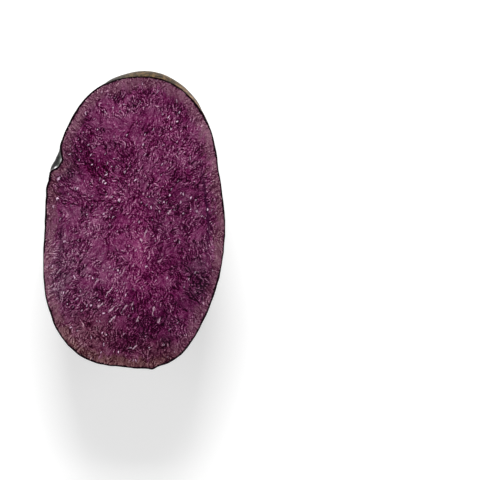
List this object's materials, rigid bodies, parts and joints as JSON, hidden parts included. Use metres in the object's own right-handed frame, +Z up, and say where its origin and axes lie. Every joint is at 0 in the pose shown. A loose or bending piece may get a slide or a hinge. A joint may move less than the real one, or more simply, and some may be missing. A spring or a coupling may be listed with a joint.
{
  "type": "purple potato half",
  "caption": "Purple-fleshed potato cut in half lengthwise, lying on its rounded dark skin with the flat cut face up.",
  "frame": {"origin": "on the surface that the half rests on, under the middle of its box", "axes": "+Y along the cut towards the rose end, where the eyes are closest; +X across the cut; +Z up, out of the cut face"},
  "size_m": [0.049, 0.0806, 0.0246],
  "materials": {
    "flesh": "satin",
    "skin": "satin"
  },
  "bodies": {
    "root": {"purple_potato_half": "flesh"}
  },
  "joints": []
}
